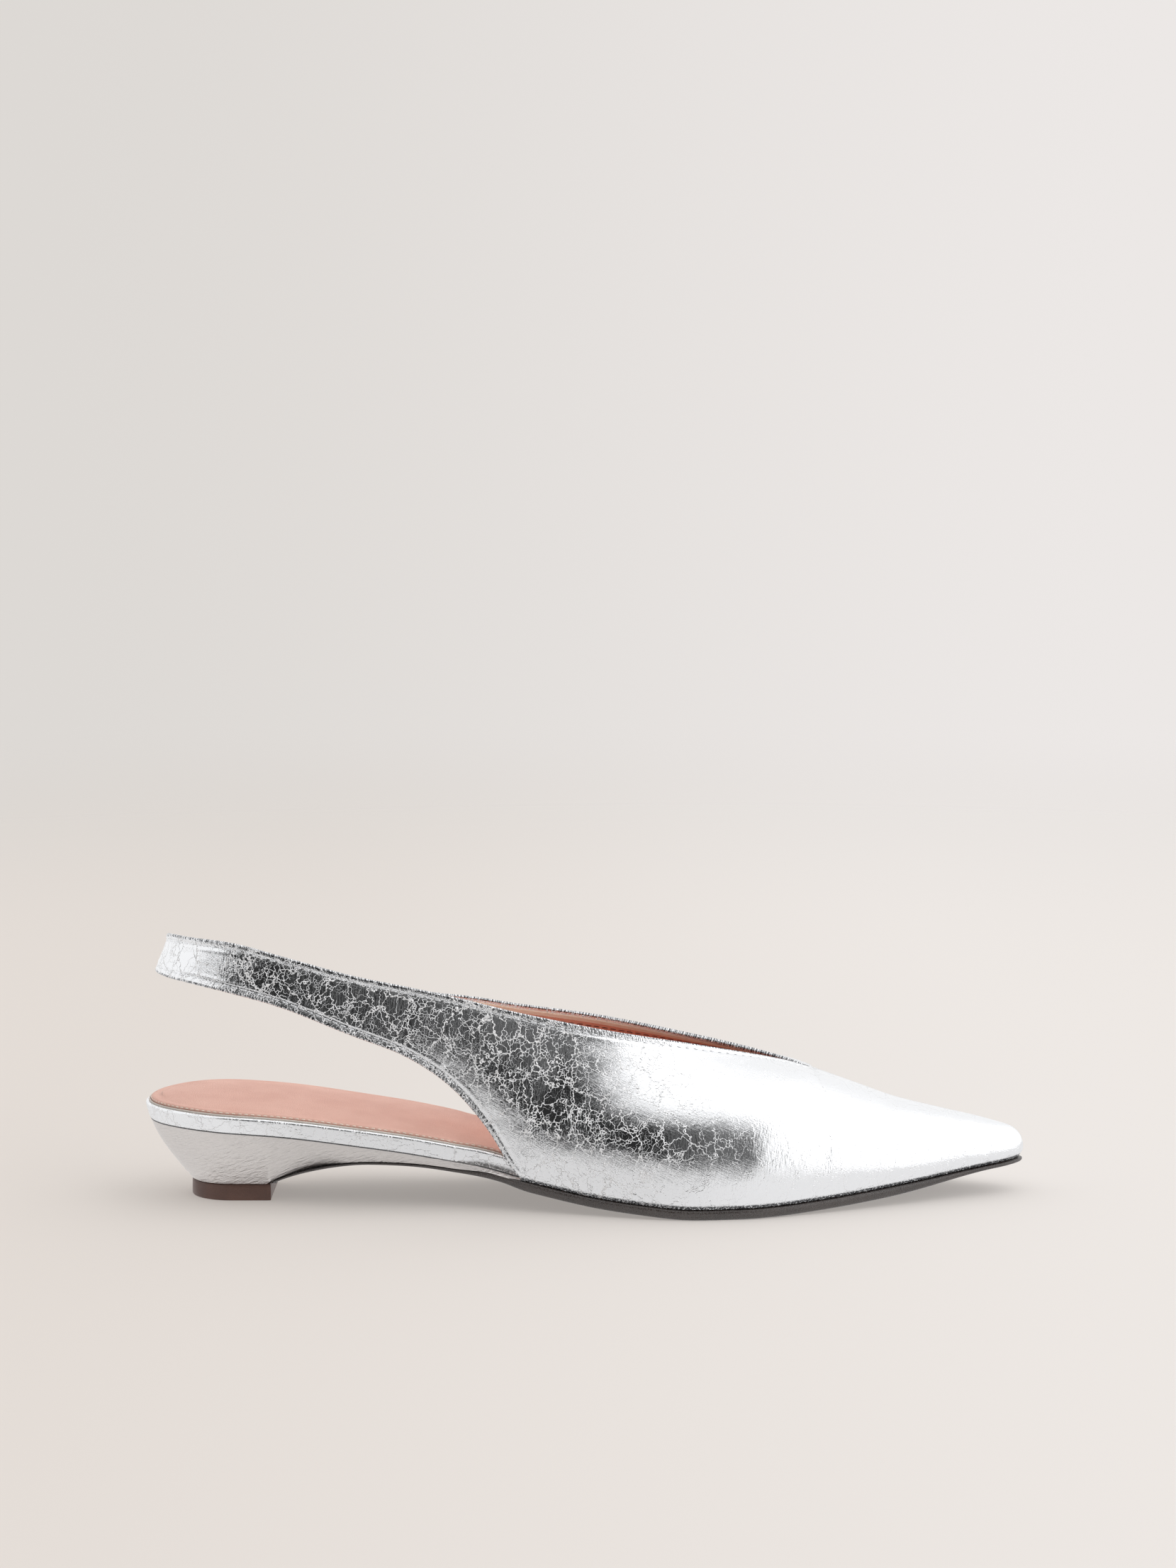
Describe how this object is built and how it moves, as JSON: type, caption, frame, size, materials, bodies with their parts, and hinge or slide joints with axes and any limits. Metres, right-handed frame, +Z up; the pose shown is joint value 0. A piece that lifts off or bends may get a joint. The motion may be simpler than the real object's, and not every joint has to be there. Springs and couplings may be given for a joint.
{
  "type": "pointed toe slingback shoe",
  "caption": "Flat slingback shoe with a sharply pointed closed toe, a low V throat, cut-away sides, a heel strap in one with the upper, a padded footbed and a low covered heel.",
  "frame": {"origin": "on the floor, under the middle of the shoe's length and width", "axes": "+X points to the toe, +Y to the inner side of the foot, +Z up from the floor"},
  "size_m": [0.2682, 0.0784, 0.0808],
  "materials": {
    "silver_leather": "glossy metallic foil, crackled",
    "sock_leather": "matt",
    "sole_leather": "satin",
    "lift_rubber": "satin"
  },
  "bodies": {
    "root": {"upper": "silver_leather", "footbed": "silver_leather", "sock": "sock_leather", "heel": "silver_leather", "top_lift": "lift_rubber", "outsole": "sole_leather"}
  },
  "joints": []
}
